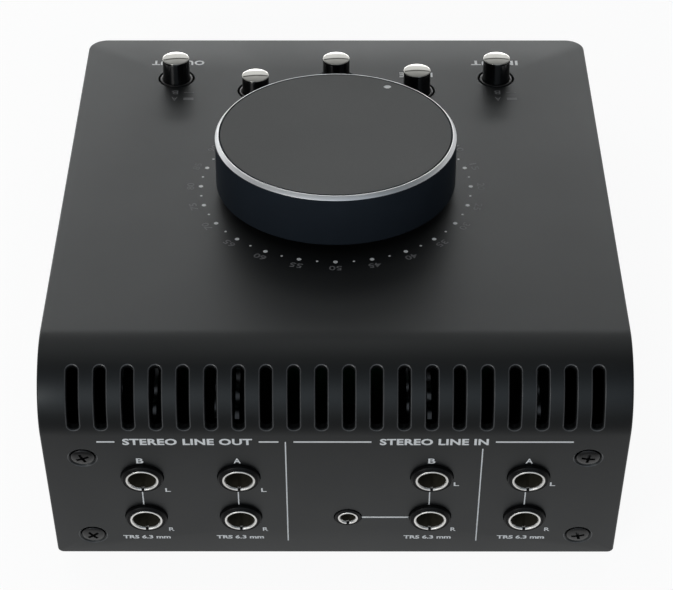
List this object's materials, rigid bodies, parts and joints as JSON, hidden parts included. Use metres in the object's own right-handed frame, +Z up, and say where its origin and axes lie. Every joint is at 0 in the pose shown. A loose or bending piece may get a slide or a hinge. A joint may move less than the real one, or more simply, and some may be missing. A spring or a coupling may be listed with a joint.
{
  "type": "studio monitor controller",
  "caption": "Wedge-shaped desktop audio controller with a large turning volume knob, push buttons on its sloped top and jacks in its rear panel.",
  "frame": {"origin": "middle of the overall box on the surface that the feet stand on", "axes": "+Z up, +Y towards the rear jack panel, +X to the right of someone using it from the front"},
  "size_m": [0.137, 0.1538, 0.0737],
  "materials": {
    "case_paint": "fine satin powder coat, dark grey",
    "tray_paint": "satin black paint",
    "foot_rubber": "matt",
    "screw_black": "black oxide",
    "board_laminate": "green solder mask",
    "zinc_steel": "zinc plated",
    "ribbon_plastic": "matt",
    "jack_plastic": "moulded, half gloss",
    "nickel_plate": "bright nickel",
    "guide_plastic": "moulded",
    "knob_anodised": "black anodised, satin",
    "disc_grey": "dark grey, fine matt",
    "button_gloss": "gloss",
    "chrome_top": "bright chrome"
  },
  "bodies": {
    "chassis": {"top_cover": "case_paint", "base_tray": "tray_paint", "foot_front_left": "foot_rubber", "foot_front_right": "foot_rubber", "foot_rear_left": "foot_rubber", "foot_rear_right": "foot_rubber", "rear_screw_lower_left": "screw_black", "rear_screw_lower_right": "screw_black", "rear_screw_upper_left": "screw_black", "rear_screw_upper_right": "screw_black", "control_board": "board_laminate", "board_screw_1": "zinc_steel", "board_screw_2": "zinc_steel", "board_screw_3": "zinc_steel", "board_screw_4": "zinc_steel", "jack_board": "board_laminate", "ribbon_cable": "ribbon_plastic", "jack_body_out_b_left": "jack_plastic", "jack_sleeve_out_b_left": "nickel_plate", "jack_body_out_b_right": "jack_plastic", "jack_sleeve_out_b_right": "nickel_plate", "jack_body_out_a_left": "jack_plastic", "jack_sleeve_out_a_left": "nickel_plate", "jack_body_out_a_right": "jack_plastic", "jack_sleeve_out_a_right": "nickel_plate", "jack_body_in_b_left": "jack_plastic", "jack_sleeve_in_b_left": "nickel_plate", "jack_body_in_b_right": "jack_plastic", "jack_sleeve_in_b_right": "nickel_plate", "jack_body_in_a_left": "jack_plastic", "jack_sleeve_in_a_left": "nickel_plate", "jack_body_in_a_right": "jack_plastic", "jack_sleeve_in_a_right": "nickel_plate", "mini_jack_body": "jack_plastic", "mini_jack_sleeve": "nickel_plate", "pot_body": "zinc_steel", "pot_washer": "zinc_steel", "pot_nut": "zinc_steel", "button_guide": "guide_plastic", "switch_body_1": "jack_plastic", "switch_body_2": "jack_plastic", "switch_body_3": "jack_plastic", "switch_body_4": "jack_plastic", "switch_body_5": "jack_plastic"},
    "knob": {"knob_shell": "knob_anodised", "knob_core": "guide_plastic", "knob_disc": "disc_grey", "pot_shaft": "zinc_steel"},
    "button_1": {"button_cap_1": "button_gloss", "button_top_1": "chrome_top"},
    "button_2": {"button_cap_2": "button_gloss", "button_top_2": "chrome_top"},
    "button_3": {"button_cap_3": "button_gloss", "button_top_3": "chrome_top"},
    "button_4": {"button_cap_4": "button_gloss", "button_top_4": "chrome_top"},
    "button_5": {"button_cap_5": "button_gloss", "button_top_5": "chrome_top"}
  },
  "joints": [
    {"name": "knob_turn", "type": "hinge", "parent": "chassis", "child": "knob", "pos_m": [0, -0.00363, 0.05038], "axis": [0, 0.2756, -0.9613], "range_deg": [0, 300]},
    {"name": "button_1_press", "type": "slide", "parent": "chassis", "child": "button_1", "axis": [0, 0.2756, -0.9613], "range_m": [0, 0.0025], "stiffness_N_per_m": 100, "springref_m": -0.005},
    {"name": "button_2_press", "type": "slide", "parent": "chassis", "child": "button_2", "axis": [0, 0.2756, -0.9613], "range_m": [0, 0.0025], "stiffness_N_per_m": 100, "springref_m": -0.005},
    {"name": "button_3_press", "type": "slide", "parent": "chassis", "child": "button_3", "axis": [0, 0.2756, -0.9613], "range_m": [0, 0.0025], "stiffness_N_per_m": 100, "springref_m": -0.005},
    {"name": "button_4_press", "type": "slide", "parent": "chassis", "child": "button_4", "axis": [0, 0.2756, -0.9613], "range_m": [-0.0015, 0.001], "stiffness_N_per_m": 100},
    {"name": "button_5_press", "type": "slide", "parent": "chassis", "child": "button_5", "axis": [0, 0.2756, -0.9613], "range_m": [0, 0.0025], "stiffness_N_per_m": 100, "springref_m": -0.005}
  ]
}
